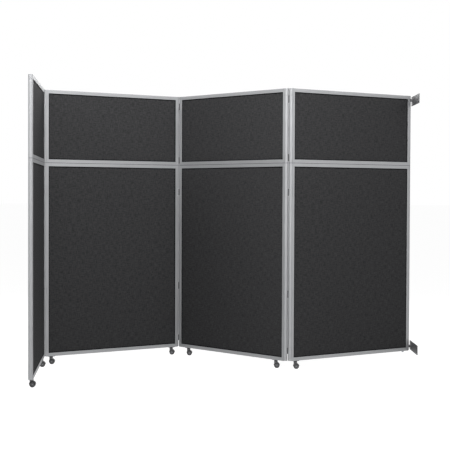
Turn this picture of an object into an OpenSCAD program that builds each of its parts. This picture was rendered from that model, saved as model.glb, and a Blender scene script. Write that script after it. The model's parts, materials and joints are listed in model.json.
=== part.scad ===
// Accordion folding partition: four framed fabric panels, each a short section on a tall one.
// The panels fold on double-pivot hinges, roll on casters and hang from two wall plates.
// X runs along the partition, with the wall at +X. The front of the partition faces -Y.

/* [Panels] */
// Distance between the two pivots of one panel
panel_w = 1443; // [1000:1:1800]
// Height of the tall lower section
lower_h = 1816; // [1700:1:2100]
// Height of the short upper section
upper_h = 680; // [450:1:900]
// Gap between the two sections of a panel
seam_gap = 0.3; // [0.2:0.1:2]
// Thickness of the panels and diameter of their rounded edges
panel_t = 38; // [36:0.5:44]
// Gap between the rounded edges of two panels
hinge_gap = 5; // [4:0.5:10]

/* [Standing pose] */
// Heading of panel 1, from its free edge, turned from +X
heading_1 = 94.6; // [90:0.1:100]
// Heading of panel 2
heading_2 = 33.6; // [20:0.1:40]
// Heading of panel 3
heading_3 = -46.3; // [-50:0.1:-35]
// Heading of panel 4, which ends at the wall
heading_4 = 34.2; // [25:0.1:45]

/* [Frame sections] */
// Width of a stile's flat face, from the pivot line to the fabric opening
stile_w = 28; // [27:0.5:40]
// Height of a rail's face
rail_h = 32; // [28:1:50]
// Thickness of the extrusions' outer walls
flange_t = 2.5; // [1.5:0.1:3]
// Thickness of the extrusions' cross webs
web_t = 2.5; // [1.5:0.1:4]
// Depth of the recess that takes the hinge edge
recess_d = 14; // [13.9:0.1:15]
// Height of the closed chamber in a rail
chamber_h = 14; // [12:0.5:18]

/* [Hinge edges] */
// Wall of the rounded edge
nose_wall = 2.2; // [1.5:0.1:3]
// Groove between the rounded edge and the flat face
groove_w = 1.8; // [1:0.1:3]
// Depth to which the legs of the rounded edge reach into the stile
leg_reach = 10; // [6:0.5:12]
// Thickness of those legs
leg_t = 2; // [1.5:0.1:2.4]
// Play between the legs and the stile
leg_play = 0.3; // [0.1:0.05:0.5]
// Wall of the tube that guides a hinge pin
guide_wall = 3; // [2:0.1:4]
// Thickness of the rib that holds this tube
rib_t = 2; // [1.5:0.1:3]
// Distance from the foot of the frame to the foot of the rounded edges
nose_foot = 3; // [1:0.5:4]

/* [Hinges] */
// Step from the rounded edge down to a hinge block's knuckle
knuckle_step = 0.6; // [0.5:0.1:4]
// Width of the arm between two knuckles
arm_w = 12; // [8:0.5:14]
// Height of a hinge block
block_h = 66; // [40:1:68]
// Distance from the foot of the frame to the lowest hinge block and the seals above it
foot_block_z = 66; // [60:1:90]
// Height of that block
foot_block_h = 56; // [40:1:80]
// Radius of a hinge pin
pin_r = 4; // [3:0.1:5]
// Length of pin that sits in each guide tube
pin_grip = 18; // [10:1:22]
// Running clearance around the pins
pin_play = 0.05; // [0.02:0.01:0.1]
// Play above and below a hinge block
block_play = 1; // [0.5:0.1:2]
// Height of the middle of the low block above the foot of the frame
low_block_z = 614; // [400:1:900]
// Height of the middle of the middle block above the foot of the frame
mid_block_z = 1548; // [1300:1:1600]
// Height of the middle of the seam block above the seam
seam_block_z = 49; // [49:1:120]
// Distance of the middle of the top block below the top of the frame
top_block_z = 98; // [70:1:150]
// Thickness of the seal between two rounded edges
seal_t = 4.2; // [2:0.1:4.4]
// Depth of that seal
seal_d = 30; // [20:1:34]

/* [Infill] */
// Thickness of the core board
board_t = 26; // [20:0.5:28]
// Depth to which the infill stands in the channels
board_grip = 9; // [6:0.5:10]
// Thickness of the fabric face
fabric_t = 1.6; // [1:0.1:2]
// Width of the retaining bead that shows
bead_show = 6; // [3:0.5:10]
// Width of the retaining bead under the frame
bead_hidden = 6; // [3:0.5:8]

/* [Frame hardware] */
// Length of a corner key inside the rail
key_l = 130; // [100:1:200]
// Play of a corner key in the rail
key_play = 0.3; // [0.1:0.05:0.6]
// Number of bolts that join the two sections of a panel
bolt_count = 3; // [2:1:5]
// Distance of the outer bolts from the pivots
bolt_inset = 220; // [150:1:400]
// Thickness of the plates that close the tops of the stiles
end_plate_t = 2; // [1:0.1:3]
// Radius of a joining bolt
bolt_r = 4; // [3:0.5:5]
// Radius of its head and nut
bolt_head_r = 7; // [6:0.5:9]
// Height of its head and nut
bolt_head_h = 6; // [4:0.5:8]
// Radius of the glide under the last panel, where it has no caster
glide_r = 10; // [8:0.5:14]
// Reach of that glide below the foot of the frame
glide_drop = 12; // [6:1:20]
// Distance from the wall pivot to the glide
glide_inset = 56; // [45:1:90]

/* [Casters] */
// Height from the floor to the foot of the frame
caster_h = 76; // [76:1:100]
// Radius of a caster wheel
wheel_r = 25; // [20:0.5:26]
// Width of one of the two wheels
wheel_w = 13; // [10:0.5:15]
// Rounding of a wheel's edges
wheel_round = 3; // [1:0.5:5]
// Distance from the stem to the axle, seen from above
trail = 8; // [5:0.5:20]
// Thickness of the yoke's middle web
yoke_web = 9; // [6:0.5:12]
// Gap between a wheel and the yoke
wheel_gap = 0.7; // [0.4:0.1:1.5]
// Depth of the yoke's web inside the wheels' rim
web_inset = 4; // [2:0.5:8]
// Gap between a wheel's rim and the hood
hood_gap = 1.5; // [1:0.1:3]
// Height of the hood's open side above the axle
hood_rise = 2; // [0:0.5:6]
// Gap between the yoke's crown and the raceway
neck_gap = 1; // [0.5:0.1:2]
// Wall of the hood over the wheels
hood_wall = 2.2; // [1.5:0.1:3]
// Radius of the axle
axle_r = 3; // [2:0.1:4]
// Radius of the stem
stem_r = 5.5; // [4:0.1:7]
// Length of the caster plate
plate_l = 64; // [56:1:90]
// Width of the caster plate
plate_w = 34; // [32:1:36]
// Thickness of the caster plate
plate_t = 3; // [2:0.5:5]
// Radius of the raceway under the caster plate, and of the yoke's crown
crown_r = 16.5; // [12:0.5:17]
// Height of that raceway
socket_h = 11; // [8:0.5:14]
// Distance of the plate's screws from its ends
plate_screw_inset_x = 8; // [7:0.5:9]
// Distance of the plate's screws from its long edges
plate_screw_inset_y = 8; // [6:0.5:8]
// Radius of those screws
plate_screw_r = 2.5; // [2:0.1:3]
// Radius of their heads
plate_screw_head_r = 4.5; // [4:0.1:5.5]
// Height of their heads
plate_screw_head_h = 2.5; // [1.5:0.1:3.5]
// Depth to which they bite into a corner key
plate_screw_bite = 8; // [4:0.5:10]
// Distance from a corner to the stems of panels 2 and 4
inset_even = 84; // [82:1:86]
// Distance from a corner to the stems of panels 1 and 3, which pass the others when folded
inset_odd = 140; // [138:1:160]
// Direction in which the casters trail, turned from +X
caster_heading = 0; // [-180:5:180]

/* [Wall plates] */
// Height of a wall plate
wall_plate_h = 90; // [60:1:120]
// Thickness of a wall plate
wall_plate_t = 6; // [4:0.5:8]
// Reach of a wall plate in front of the pivot
wall_plate_front = 430; // [200:1:600]
// Reach of a wall plate behind the pivot
wall_plate_back = 40; // [30:1:100]
// Distance from the pivot to the wall
wall_gap = 38; // [32:1:60]
// Distance from a wall plate to the nearer end of the frame
wall_plate_inset = 8; // [4:1:20]
// Distance from the end of the frame to a wall plate's ear
ear_inset = 30; // [28:1:60]
// Height of the ear on a wall plate
ear_h = 24; // [16:1:28]
// Half width of the ear's foot on the plate
ear_foot = 22; // [16:1:28]
// Thickness of the ear's foot
ear_foot_t = 8; // [4:0.5:10]
// Radius of the screw holes
screw_r = 3.5; // [2.5:0.1:5]
// Distance of the screw holes from the plate's ends
screw_inset_y = 25; // [15:1:40]
// Distance of the screw holes from the plate's long edges
screw_inset_z = 15; // [10:1:25]

/* [Hidden] */
headings = [heading_1, heading_2, heading_3, heading_4];
panel_count = len(headings);
panels = [1 : panel_count];
hinges = [1 : panel_count - 1];
frame_h = lower_h + upper_h;
sections = [[0, lower_h - seam_gap / 2], [lower_h + seam_gap / 2, frame_h]];
// Heights of the stiles, which end below the plates on top
posts = [sections[0], [sections[1][0], frame_h - end_plate_t - seam_gap]];
nose_r = panel_t / 2;
link_l = 2 * nose_r + hinge_gap;
half_link = link_l / 2;
round_fn = 64;
// Overlap of joined solids, and reach of a cut beyond what it cuts
over = 1;
pin_hole_r = pin_r + pin_play;

// Inside of the frame's channels
channel_half = nose_r - flange_t;
channel_x = recess_d + web_t;
board_x = stile_w - board_grip;
board_z = rail_h - board_grip;
guide_r = pin_hole_r + guide_wall;
knuckle_r = min(nose_r, board_x) - knuckle_step;

// Standing pose: the pivots of each panel, before the origin is placed.
function ray(angle, length) = length * [cos(angle), sin(angle)];
function heading(k) = headings[k - 1];
function link_heading(k) = (heading(k) + heading(k + 1)) / 2;
function left_pivot(k) = k <= 1 ? [0, 0] : right_pivot(k - 1) + ray(link_heading(k - 1), link_l);
function right_pivot(k) = left_pivot(k) + ray(heading(k), panel_w);
wall_pivot = right_pivot(panel_count);

// The origin lies under the middle of the bounding box. The wall plates reach furthest in +X,
// and a rounded edge does in -X, -Y and +Y.
pivots = [for (k = panels) each [left_pivot(k), right_pivot(k)]];
min_x = min([for (p = pivots) p.x]) - nose_r;
max_x = wall_pivot.x + wall_gap;
min_y = min([for (p = pivots) p.y]) - nose_r;
max_y = max([for (p = pivots) p.y]) + nose_r;
origin = [(min_x + max_x) / 2, (min_y + max_y) / 2];

// Casters: one at each end of a panel, but none at the wall
caster_list = [
    [1, 0], [1, 1],
    [2, 0], [2, 1],
    [3, 0], [3, 1],
    [4, 0],
];
casters = [1 : len(caster_list)];
function caster_panel(c) = caster_list[c - 1][0];
function caster_end(c) = caster_list[c - 1][1];
function is_even(k) = k % 2 == 0;
function stem_inset(k) = (is_even(k) ? inset_even : inset_odd) - half_link;
function stem_x(k, end) = end == 0 ? stem_inset(k) : panel_w - stem_inset(k);

// Heights of the hinge blocks: bottom and top of each, above the foot of the frame
block_mids = [low_block_z, mid_block_z, lower_h + seam_block_z, frame_h - top_block_z];
blocks = concat(
    [[foot_block_z, foot_block_z + foot_block_h]],
    [for (z = block_mids) [z - block_h / 2, z + block_h / 2]]
);
block_ids = [0 : len(blocks) - 1];

// Wall plates and their ears: bottom and top of each
low_plate = [wall_plate_inset, wall_plate_inset + wall_plate_h];
high_plate = [frame_h - low_plate[1], frame_h - low_plate[0]];
low_ear = [ear_inset, ear_inset + ear_h];
high_ear = [frame_h - low_ear[1], frame_h - low_ear[0]];

// Colours
frame_grey = [0.72, 0.73, 0.74];
fabric_grey = [0.22, 0.22, 0.23];
board_tan = [0.62, 0.55, 0.44];
dark_grey = [0.2, 0.2, 0.21];
plate_grey = [0.36, 0.36, 0.37];
black = [0.07, 0.07, 0.07];
steel = [0.6, 0.6, 0.62];

// ---- Placing ----

// Puts a panel's own frame in place: its left pivot at x = 0, the foot of its frame at z = 0.
module on_panel(k) {
    at = left_pivot(k) - origin;
    translate([at.x, at.y, caster_h])
        rotate([0, 0, heading(k)])
            children();
}

// The same for the hinge between panels h and h + 1, with the two pivots at x = -/+ half_link.
module on_hinge(h) {
    at = right_pivot(h) + ray(link_heading(h), half_link) - origin;
    translate([at.x, at.y, caster_h])
        rotate([0, 0, link_heading(h)])
            children();
}

// A caster's own frame: its stem on the Z axis, the floor at z = 0, trailing towards +X.
module on_caster(c) {
    k = caster_panel(c);
    on_panel(k)
        translate([stem_x(k, caster_end(c)), 0, -caster_h])
            rotate([0, 0, caster_heading - heading(k)])
                children();
}

// The wall pivot's own frame, with the wall at x = wall_gap.
module on_wall() {
    at = wall_pivot - origin;
    translate([at.x, at.y, caster_h])
        children();
}

// Draws its children at the left end of a panel, or mirrored at its right end.
module at_end(end) {
    if (end == 0)
        children();
    else
        translate([panel_w, 0, 0])
            mirror([1, 0, 0])
                children();
}

// A block between two heights.
module slab(x, y, z) {
    translate([x[0], y[0], z[0]])
        cube([x[1] - x[0], y[1] - y[0], z[1] - z[0]]);
}

// ---- Frame of a panel ----

// Stile in plan: two flanges and a web. The recess faces the pivot, the channel the infill.
module stile_profile() {
    difference() {
        translate([0, -nose_r])
            square([stile_w, panel_t]);
        translate([-over, -channel_half])
            square([recess_d + over, 2 * channel_half]);
        translate([channel_x, -channel_half])
            square([stile_w, 2 * channel_half]);
    }
}

// Half the width of a circle where a line crosses it at a distance from its middle
function half_chord(r, distance) = sqrt(max(0, r * r - distance * distance));

// Cuts that free a knuckle and its arm: one through both flanges, one through the web.
module stile_notches(heights) {
    flange_cut = max(arm_w / 2, half_chord(knuckle_r, channel_half)) + block_play;
    web_cut = half_chord(knuckle_r, recess_d) + block_play;
    for (z = heights) {
        span = [z[0] - block_play, z[1] + block_play];
        slab([-over, flange_cut], [-panel_t, panel_t], span);
        slab([0, board_x], [-web_cut, web_cut], span);
    }
}

function is_free(k, end) = k == 1 && end == 0;
function at_wall(k, end) = k == panel_count && end == 1;

// Heights at which a stile is notched and its rounded edge is parted.
function end_cuts(k, end) = is_free(k, end) ? [] : at_wall(k, end) ? [low_ear, high_ear] : blocks;

module section_stile(k, end, z) {
    difference() {
        translate([0, 0, z[0]])
            linear_extrude(z[1] - z[0])
                stile_profile();
        stile_notches(end_cuts(k, end));
    }
}

module panel_stiles(k) {
    color(frame_grey)
        on_panel(k)
            for (end = [0, 1])
                at_end(end)
                    for (post = posts)
                        section_stile(k, end, post);
}

// Rounded edge in plan: half a tube around the pivot, two legs that slide into the stile's
// recess, and a guide tube for the hinge pins, held by a rib.
module nose_profile() {
    difference() {
        union() {
            intersection() {
                difference() {
                    circle(r = nose_r, $fn = round_fn);
                    circle(r = nose_r - nose_wall, $fn = round_fn);
                }
                translate([-panel_t - groove_w, -panel_t])
                    square([panel_t, 2 * panel_t]);
            }
            for (side = [-1, 1])
                translate([-nose_r / 2, side * (channel_half - leg_play - leg_t / 2) - leg_t / 2])
                    square([nose_r / 2 + leg_reach, leg_t]);
            circle(r = guide_r, $fn = round_fn);
            translate([-nose_r + nose_wall / 2, -rib_t / 2])
                square([nose_r - nose_wall / 2 - pin_hole_r - guide_wall / 2, rib_t]);
        }
        circle(r = pin_hole_r, $fn = round_fn);
    }
}

module section_nose(k, end, z) {
    difference() {
        translate([0, 0, z[0]])
            linear_extrude(z[1] - z[0])
                nose_profile();
        for (cut = end_cuts(k, end))
            slab([-panel_t, panel_t], [-panel_t, panel_t], [cut[0] - block_play, cut[1] + block_play]);
    }
}

module panel_hinge_edges(k) {
    color(frame_grey)
        on_panel(k)
            for (end = [0, 1])
                at_end(end) {
                    section_nose(k, end, [nose_foot, posts[0][1]]);
                    section_nose(k, end, posts[1]);
                }
}

// Rail seen from its end, foot at 0: a closed chamber below, a channel for the infill above.
module rail_profile() {
    difference() {
        translate([-nose_r, 0])
            square([panel_t, rail_h]);
        translate([-channel_half, web_t])
            square([2 * channel_half, chamber_h - web_t]);
        translate([-channel_half, chamber_h + web_t])
            square([2 * channel_half, rail_h]);
    }
}

function bolt_x(i) = bolt_inset + i * (panel_w - 2 * bolt_inset) / (bolt_count - 1);

// A rail that stands on height z, or hangs below it where up is -1.
module rail(z, up) {
    translate([stile_w, 0, z])
        mirror([0, 0, up > 0 ? 0 : 1])
            rotate([90, 0, 90])
                linear_extrude(panel_w - 2 * stile_w)
                    rail_profile();
}

module panel_rails(k) {
    bore_h = seam_gap + 2 * (web_t + over);
    color(frame_grey)
        on_panel(k)
            difference() {
                for (section = sections) {
                    rail(section[0], 1);
                    rail(section[1], -1);
                }
                for (i = [0 : bolt_count - 1])
                    translate([bolt_x(i), 0, lower_h - bore_h / 2])
                        cylinder(r = bolt_r + key_play, h = bore_h, $fn = round_fn);
                at_stems(k)
                    plate_screws(plate_screw_r + pin_play, -over, web_t + over);
            }
}

// ---- Infill ----

// Heights of the two openings between the rails
openings = [for (section = sections) [section[0] + rail_h, section[1] - rail_h]];

// A flat layer that fills each opening and reaches into the channels.
module layer(y) {
    for (z = openings)
        slab([board_x, panel_w - board_x], y, [z[0] - board_grip, z[1] + board_grip]);
}

module panel_core_boards(k) {
    color(board_tan)
        on_panel(k)
            layer([-board_t / 2, board_t / 2]);
}

module panel_fabric(k) {
    color(fabric_grey)
        on_panel(k)
            for (side = [-1, 1]) {
                inner = side * board_t / 2;
                outer = side * (board_t / 2 + fabric_t);
                layer([min(inner, outer), max(inner, outer)]);
            }
}

// Retaining beads: a ring on each face of each opening, between fabric and frame.
module panel_beads(k) {
    inner = board_t / 2 + fabric_t;
    outer = channel_half;
    color(black)
        on_panel(k)
            for (side = [-1, 1], z = openings)
                bead_ring(z, [min(side * inner, side * outer), max(side * inner, side * outer)]);
}

module bead_ring(z, y) {
    difference() {
        slab([stile_w - bead_hidden, panel_w - stile_w + bead_hidden], y,
            [z[0] - bead_hidden, z[1] + bead_hidden]);
        slab([stile_w + bead_show, panel_w - stile_w - bead_show], [y[0] - over, y[1] + over],
            [z[0] + bead_show, z[1] - bead_show]);
    }
}

// ---- Frame hardware ----

// Corner key: fills the end of a rail's chamber and bears on the stile's web.
module corner_key(z, up) {
    low = web_t + key_play;
    high = chamber_h - key_play;
    half = channel_half - key_play;
    heights = up > 0 ? [z + low, z + high] : [z - high, z - low];
    slab([channel_x, stile_w + key_l], [-half, half], heights);
}

// Bolt through the seam, with its head in the chamber above and its nut in the one below.
module joining_bolt(x) {
    grip = seam_gap / 2 + web_t;
    translate([x, 0, lower_h - grip - bolt_head_h])
        cylinder(r = bolt_r, h = 2 * (grip + bolt_head_h), $fn = round_fn);
    for (z = [lower_h - grip - bolt_head_h, lower_h + grip])
        translate([x, 0, z])
            cylinder(r = bolt_head_r, h = bolt_head_h, $fn = 6);
}

// Plate that closes the top of a stile and its rounded edge.
module end_plate() {
    translate([0, 0, frame_h - end_plate_t])
        linear_extrude(end_plate_t) {
            circle(r = nose_r, $fn = round_fn);
            translate([0, -nose_r])
                square([stile_w - seam_gap, panel_t]);
        }
}

module panel_frame_hardware(k) {
    bite = web_t + key_play + plate_screw_bite;
    color(steel)
        on_panel(k) {
            difference() {
                for (end = [0, 1])
                    at_end(end)
                        for (section = sections) {
                            corner_key(section[0], 1);
                            corner_key(section[1], -1);
                        }
                at_stems(k)
                    plate_screws(plate_screw_r + pin_play, 0, bite + over);
            }
            for (end = [0, 1])
                at_end(end)
                    end_plate();
            for (i = [0 : bolt_count - 1])
                joining_bolt(bolt_x(i));
            at_stems(k) {
                plate_screws(plate_screw_r, -plate_t - plate_screw_head_h / 2, bite);
                plate_screws(plate_screw_head_r, -plate_t - plate_screw_head_h, -plate_t);
            }
            if (k == panel_count)
                translate([panel_w - glide_inset, 0, -glide_drop])
                    cylinder(r = glide_r, h = glide_drop, $fn = round_fn);
        }
}

// Draws its children under a panel at each caster stem, with the foot of the frame at z = 0.
module at_stems(k) {
    for (c = casters)
        if (caster_panel(c) == k)
            translate([stem_x(k, caster_end(c)), 0, 0])
                children();
}

// The shanks, heads or holes of a caster plate's four screws, between two heights.
module plate_screws(r, low, high) {
    for (x = [-1, 1], y = [-1, 1])
        translate([
            x * (plate_l / 2 - plate_screw_inset_x),
            y * (plate_w / 2 - plate_screw_inset_y),
            low
        ])
            cylinder(r = r, h = high - low, $fn = round_fn);
}

// Caster plate under the foot rail, with the raceway that takes the stem.
module caster_plate() {
    difference() {
        union() {
            slab([-plate_l / 2, plate_l / 2], [-plate_w / 2, plate_w / 2], [-plate_t, 0]);
            translate([0, 0, -plate_t - socket_h])
                cylinder(r = crown_r, h = socket_h + plate_t / 2, $fn = round_fn);
        }
        translate([0, 0, -plate_t - socket_h - over])
            cylinder(r = stem_r + pin_play, h = socket_h + over, $fn = round_fn);
        plate_screws(plate_screw_r + pin_play, -plate_t - over, over);
    }
}

module panel_caster_plates(k) {
    color(dark_grey)
        on_panel(k)
            at_stems(k)
                caster_plate();
}

// ---- Hinges ----

// Hinge block in plan: a knuckle on each pivot and an arm between them.
module block_profile() {
    difference() {
        union() {
            for (side = [-1, 1])
                translate([side * half_link, 0])
                    circle(r = knuckle_r, $fn = round_fn);
            translate([-half_link, -arm_w / 2])
                square([link_l, arm_w]);
        }
        for (side = [-1, 1])
            translate([side * half_link, 0])
                circle(r = pin_hole_r, $fn = round_fn);
    }
}

module hinge_blocks(h) {
    color(frame_grey)
        on_hinge(h)
            for (z = blocks)
                translate([0, 0, z[0]])
                    linear_extrude(z[1] - z[0])
                        block_profile();
}

// A hinge pin between two heights.
module pin(low, high) {
    translate([0, 0, low])
        cylinder(r = pin_r, h = high - low, $fn = round_fn);
}

// Each pin stands in a block and reaches into the guide tubes above and below it.
module hinge_pins(h) {
    reach = block_play + pin_grip;
    color(steel)
        on_hinge(h)
            for (z = blocks, side = [-1, 1])
                translate([side * half_link, 0, 0])
                    pin(z[0] - reach, z[1] + reach);
}

// Seal between the rounded edges, in lengths that run from block to block.
module hinge_seals(h) {
    color(frame_grey)
        on_hinge(h)
            for (i = block_ids) {
                top = i == len(blocks) - 1 ? frame_h : blocks[i + 1][0];
                slab([-seal_t / 2, seal_t / 2], [-seal_d / 2, seal_d / 2], [blocks[i][1], top]);
            }
}

// ---- Casters ----

wheel_mid = yoke_web / 2 + wheel_gap + wheel_w / 2;
caster_half = wheel_mid + wheel_w / 2;
hood_r = wheel_r + hood_gap + hood_wall;
crown_top = caster_h - plate_t - socket_h - neck_gap;

// Yoke: a web between the wheels, a hood over them, a crown and the stem.
module caster_yoke(c) {
    color(dark_grey)
        on_caster(c)
            difference() {
                union() {
                    yoke_hood();
                    cylinder_at([trail, 0, wheel_r], wheel_r - web_inset, yoke_web);
                    translate([0, 0, wheel_r])
                        cylinder(r = crown_r, h = crown_top - wheel_r, $fn = round_fn);
                    translate([0, 0, crown_top - over])
                        cylinder(r = stem_r, h = socket_h + plate_t / 2, $fn = round_fn);
                }
                for (side = [-1, 1])
                    cylinder_at([trail, side * (yoke_web / 2 + panel_t), wheel_r],
                        wheel_r + hood_gap, 2 * panel_t);
                cylinder_at([trail, 0, wheel_r], axle_r + pin_play, panel_t);
            }
}

// The hood is a half drum that closes over both wheels.
module yoke_hood() {
    difference() {
        cylinder_at([trail, 0, wheel_r], hood_r, 2 * caster_half);
        slab([-panel_t * 2, panel_t * 2], [-panel_t, panel_t], [-hood_r, wheel_r + hood_rise]);
    }
}

// A cylinder across the caster, its middle at the given point.
module cylinder_at(at, r, w) {
    translate(at)
        rotate([90, 0, 0])
            cylinder(r = r, h = w, center = true, $fn = round_fn);
}

module wheel_profile() {
    difference() {
        translate([axle_r + pin_play, -wheel_w / 2])
            square([wheel_r - axle_r - pin_play, wheel_w]);
        for (side = [-1, 1])
            translate([wheel_r, side * wheel_w / 2])
                rotate([0, 0, 45])
                    square(wheel_round, center = true);
    }
}

module caster_wheels(c) {
    color(black)
        on_caster(c) {
            for (side = [-1, 1])
                translate([trail, side * wheel_mid, wheel_r])
                    rotate([90, 0, 0])
                        rotate_extrude($fn = round_fn)
                            wheel_profile();
            cylinder_at([trail, 0, wheel_r], axle_r, 2 * caster_half);
        }
}

// ---- Wall plates ----

// Wall plate with an ear that holds the last panel's pivot, and four screw holes.
module wall_plate(plate, ear) {
    color(plate_grey)
        on_wall()
            difference() {
                union() {
                    slab([wall_gap - wall_plate_t, wall_gap],
                        [-wall_plate_front, wall_plate_back], plate);
                    slab([0, wall_gap - wall_plate_t], [-arm_w / 2, arm_w / 2], ear);
                    slab([wall_gap - wall_plate_t - ear_foot_t, wall_gap - wall_plate_t],
                        [-ear_foot, ear_foot], ear);
                    translate([0, 0, ear[0]])
                        cylinder(r = knuckle_r, h = ear[1] - ear[0], $fn = round_fn);
                }
                translate([0, 0, ear[0] - over])
                    cylinder(r = pin_hole_r, h = ear[1] - ear[0] + 2 * over, $fn = round_fn);
                for (y = [-wall_plate_front + screw_inset_y, wall_plate_back - screw_inset_y],
                     z = [plate[0] + screw_inset_z, plate[1] - screw_inset_z])
                    translate([wall_gap - wall_plate_t - over, y, z])
                        rotate([0, 90, 0])
                            cylinder(r = screw_r, h = wall_plate_t + 2 * over, $fn = round_fn);
            }
}

// The pins go through the ears and reach into the last panel's guide tubes.
module wall_pins() {
    reach = block_play + pin_grip;
    color(steel)
        on_wall()
            for (ear = [low_ear, high_ear])
                pin(ear[0] - reach, ear[1] + reach);
}

// ---- Assembly ----

for (k = panels) {
    panel_stiles(k);
    panel_hinge_edges(k);
    panel_rails(k);
    panel_core_boards(k);
    panel_fabric(k);
    panel_beads(k);
    panel_frame_hardware(k);
    panel_caster_plates(k);
}
for (h = hinges) {
    hinge_blocks(h);
    hinge_pins(h);
    hinge_seals(h);
}
for (c = casters) {
    caster_yoke(c);
    caster_wheels(c);
}
wall_plate(high_plate, high_ear);  // wall_plate_top
wall_plate(low_plate, low_ear);  // wall_plate_bottom
wall_pins();
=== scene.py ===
"""Looks of the accordion folding partition.

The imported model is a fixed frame. Its extrusions, hinges, yokes and wall plates stay, with softened
edges and a finish each. Fabric faces, retaining beads, tyres, hubs and axles are built here, each in
the place that the frame gives it, and ride on the frame's bodies.
Lengths are in metres. MM turns a size in millimetres into metres.
"""

import json
import logging
import math
from dataclasses import dataclass, field
from enum import Enum
from typing import Any

import bpy
from mathutils import Matrix, Vector


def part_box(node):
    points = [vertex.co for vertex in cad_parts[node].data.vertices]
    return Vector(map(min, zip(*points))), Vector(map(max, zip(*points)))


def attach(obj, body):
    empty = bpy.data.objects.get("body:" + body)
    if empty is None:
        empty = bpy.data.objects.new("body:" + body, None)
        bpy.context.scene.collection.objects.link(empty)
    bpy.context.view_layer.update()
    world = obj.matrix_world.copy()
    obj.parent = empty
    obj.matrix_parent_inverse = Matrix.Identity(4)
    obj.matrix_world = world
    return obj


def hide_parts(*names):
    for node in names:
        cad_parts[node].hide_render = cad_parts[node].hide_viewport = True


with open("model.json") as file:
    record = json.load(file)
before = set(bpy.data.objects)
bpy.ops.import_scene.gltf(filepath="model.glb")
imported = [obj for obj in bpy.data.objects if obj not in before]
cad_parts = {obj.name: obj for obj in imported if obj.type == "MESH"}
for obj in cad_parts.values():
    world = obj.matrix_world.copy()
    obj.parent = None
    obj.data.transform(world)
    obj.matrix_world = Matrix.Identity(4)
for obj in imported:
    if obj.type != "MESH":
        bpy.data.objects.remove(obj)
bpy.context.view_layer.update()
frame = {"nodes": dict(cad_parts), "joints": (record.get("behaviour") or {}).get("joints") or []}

LOG = logging.getLogger("partition")
MM = 0.001
PANELS = 4
CASTERS = 7
# The frame's mesh splits its corners. Those closer than this are joined before its edges are rounded.
WELD_DISTANCE = 0.002 * MM
# Edges that turn by less than this many degrees are facets of a curve and stay as they are.
FACET_ANGLE = 40
BEVEL_STEPS = 2
# The seam between the sections lies more than this many rail heights from the top and the foot.
SEAM_MARGIN = 4


# ---- Frame ----


def find_joint(name: str) -> dict[str, Any]:
    """Finds a joint of the frame.

    Args:
        name: The joint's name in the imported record.

    Returns:
        The joint's row.
    """
    return next(joint for joint in frame["joints"] if joint["name"] == name)


def joint_place(name: str) -> Vector:
    """Gives the point that a joint of the frame turns about.

    Args:
        name: The joint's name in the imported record.

    Returns:
        The point, in the shared frame.
    """
    return Vector(find_joint(name)["pos_m"])


def joint_axis(name: str) -> Vector:
    """Gives the direction of a joint's axis.

    Args:
        name: The joint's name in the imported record.

    Returns:
        The direction, of length 1.
    """
    return Vector(find_joint(name)["axis"]).normalized()


def upright_matrix(origin: Vector, along: Vector) -> Matrix:
    """Makes a frame of reference with Z up.

    Args:
        origin: Its origin.
        along: The direction of its X axis, which is level.

    Returns:
        The matrix from that frame to the shared one.
    """
    x = Vector((along.x, along.y, 0.0)).normalized()
    y = Vector((-x.y, x.x, 0.0))
    rotation = Matrix((x, y, Vector((0.0, 0.0, 1.0)))).transposed().to_4x4()
    return Matrix.Translation(origin) @ rotation


def panel_matrix(panel: int) -> Matrix:
    """Gives a panel's own frame: X from its left pivot to its right one, Z up from its foot.

    Args:
        panel: The panel's number, from 1 at the free end.

    Returns:
        The matrix from the panel's frame to the shared one.
    """
    last_left = joint_place(f"corner_{PANELS - 1}_near")
    width = (joint_place("wall_hinge") - last_left).length
    right = joint_place("wall_hinge" if panel == PANELS else f"corner_{panel}_far")
    if panel > 1:
        along = right - joint_place(f"corner_{panel - 1}_near")
    else:
        along = joint_place("caster_2_swivel") - joint_place("caster_1_swivel")
    left = right - along.normalized() * width
    left.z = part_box(f"panel_{panel}_stiles")[0].z
    return upright_matrix(left, along)


def seam_height() -> float:
    """Gives the height of the seam between the short sections and the tall ones.

    Returns:
        The height in the shared frame.
    """
    heights = levels("panel_1_rails", Matrix.Identity(4), 2)
    top, foot = heights[-1], heights[0]
    margin = SEAM_MARGIN * (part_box("panel_1_fabric")[0].z - foot)
    inner = [z for z in heights if foot + margin < z < top - margin]
    gaps = [(high - low, (low + high) / 2) for low, high in zip(inner, inner[1:])]
    return min(gaps)[1]


def levels(node: str, matrix: Matrix, axis: int) -> list[float]:
    """Lists the distinct heights of a node's corners along one axis of a local frame.

    Args:
        node: The node's name.
        matrix: The matrix from the local frame to the shared one.
        axis: 0, 1 or 2 for X, Y or Z.

    Returns:
        The coordinates in metres, from low to high, rounded to 0.01 mm.
    """
    to_local = matrix.inverted()
    found = {round((to_local @ vertex.co)[axis], 5) for vertex in frame["nodes"][node].data.vertices}
    return sorted(found)


# ---- Meshes ----


def add_mesh(
    name: str,
    points: list[tuple[float, float, float]],
    faces: list[tuple[int, ...]],
    material: bpy.types.Material,
    matrix: Matrix,
    smooth_angle: float = 30.0,
) -> bpy.types.Object:
    """Adds a mesh object in a local frame.

    Args:
        name: The piece's name.
        points: Its corners in the local frame.
        faces: The corners of each face.
        material: Its finish.
        matrix: The matrix from the local frame to the shared one.
        smooth_angle: Edges sharper than this stay sharp, in degrees.

    Returns:
        The new object.
    """
    mesh = bpy.data.meshes.new(name)
    mesh.from_pydata(points, [], faces)
    mesh.validate()
    mesh.materials.append(material)
    piece = bpy.data.objects.new(name, mesh)
    bpy.context.scene.collection.objects.link(piece)
    piece.matrix_world = matrix
    shade_by_angle(mesh, smooth_angle)
    return piece


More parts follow.
